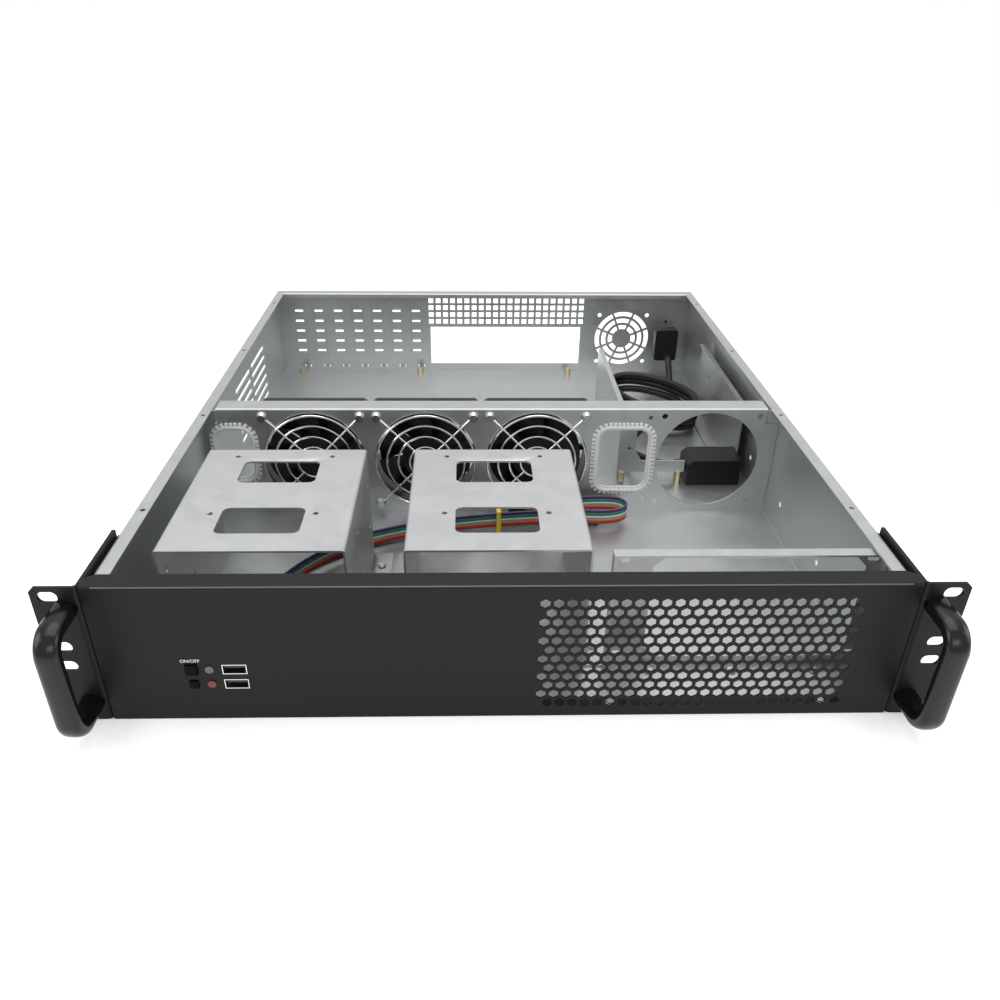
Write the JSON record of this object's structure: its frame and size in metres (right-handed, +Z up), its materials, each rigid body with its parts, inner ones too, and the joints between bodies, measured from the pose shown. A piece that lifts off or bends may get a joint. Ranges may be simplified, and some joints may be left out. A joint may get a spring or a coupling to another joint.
{
  "type": "rackmount server case",
  "caption": "Empty low rackmount server case without its lid: folded steel tray, meshed front panel, rack ears with handles, fan wall, drive brackets and slot covers.",
  "frame": {"origin": "middle of the tray's underside, on the resting plane", "axes": "+X to the viewer's right, +Y to the rear panel, +Z up"},
  "size_m": [0.4826, 0.5878, 0.088],
  "materials": {
    "galvanised_steel": "matte zinc spangle",
    "black_panel": "fine textured black powder coat",
    "black_handle": "satin black",
    "zinc_screw": "bright zinc",
    "dark_screw": "black oxide",
    "brass_post": "brass plated",
    "fan_black": "moulded black",
    "guard_wire": "nickel plated wire",
    "edging": "natural nylon",
    "black_plastic": "moulded black",
    "clear_light": "clear epoxy",
    "red_light": "tinted epoxy",
    "usb_shell": "nickel plated",
    "usb_insert": "moulded",
    "green_board": "solder mask",
    "ribbon": "coloured ribbon cable",
    "black_cord": "black jacket",
    "yellow_tie": "nylon",
    "pin_metal": "plated brass"
  },
  "bodies": {
    "case": {"base_tray": "galvanised_steel", "bay_guide_left": "galvanised_steel", "bay_guide_right": "galvanised_steel", "control_board": "green_board", "control_ribbon": "ribbon", "drive_bracket_left": "galvanised_steel", "drive_bracket_right": "galvanised_steel", "drive_light": "red_light", "ear_left": "black_panel", "ear_right": "black_panel", "ear_screws": "dark_screw", "edging_left": "edging", "edging_right": "edging", "fan_frame_1": "fan_black", "fan_frame_2": "fan_black", "fan_frame_3": "fan_black", "fan_guard_1": "guard_wire", "fan_guard_2": "guard_wire", "fan_guard_3": "guard_wire", "fan_screws": "zinc_screw", "fan_wall": "galvanised_steel", "front_panel": "black_panel", "handle_left": "black_handle", "handle_right": "black_handle", "handle_screws": "dark_screw", "inlet_boot": "black_plastic", "inlet_pins": "pin_metal", "lead_tie": "yellow_tie", "mains_hank": "black_cord", "mains_inlet": "black_plastic", "mains_lead_front": "black_cord", "mains_lead_rear": "black_cord", "mains_plug": "black_plastic", "mount_plate": "galvanised_steel", "power_light": "clear_light", "rear_panel": "galvanised_steel", "rear_screws": "zinc_screw", "ribbon_end_plug": "black_plastic", "ribbon_plug": "black_plastic", "slot_cover_1": "galvanised_steel", "slot_cover_2": "galvanised_steel", "slot_cover_3": "galvanised_steel", "slot_cover_4": "galvanised_steel", "slot_cover_5": "galvanised_steel", "slot_cover_6": "galvanised_steel", "slot_cover_7": "galvanised_steel", "small_screws": "zinc_screw", "standoffs": "brass_post", "switches": "black_plastic", "usb_end_plug": "black_plastic", "usb_lead": "black_cord", "usb_plug": "black_plastic", "usb_port_lower": "usb_shell", "usb_port_upper": "usb_shell", "usb_tongues": "usb_insert"},
    "rotor_1": {"fan_rotor_1": "fan_black"},
    "rotor_2": {"fan_rotor_2": "fan_black"},
    "rotor_3": {"fan_rotor_3": "fan_black"},
    "power_button": {"power_button": "black_plastic"},
    "reset_button": {"reset_button": "black_plastic"}
  },
  "joints": [
    {"name": "fan_1_spin", "type": "hinge", "parent": "case", "child": "rotor_1", "pos_m": [-0.1346, -0.0274, 0.0445], "axis": [0, 1, 0], "continuous": true},
    {"name": "fan_2_spin", "type": "hinge", "parent": "case", "child": "rotor_2", "pos_m": [-0.0508, -0.0274, 0.0445], "axis": [0, 1, 0], "continuous": true},
    {"name": "fan_3_spin", "type": "hinge", "parent": "case", "child": "rotor_3", "pos_m": [0.033, -0.0274, 0.0445], "axis": [0, 1, 0], "continuous": true},
    {"name": "power_button_press", "type": "slide", "parent": "case", "child": "power_button", "axis": [0, 1, 0], "range_m": [0, 0.001], "stiffness_N_per_m": 400},
    {"name": "reset_button_press", "type": "slide", "parent": "case", "child": "reset_button", "axis": [0, 1, 0], "range_m": [0, 0.001], "stiffness_N_per_m": 400}
  ]
}
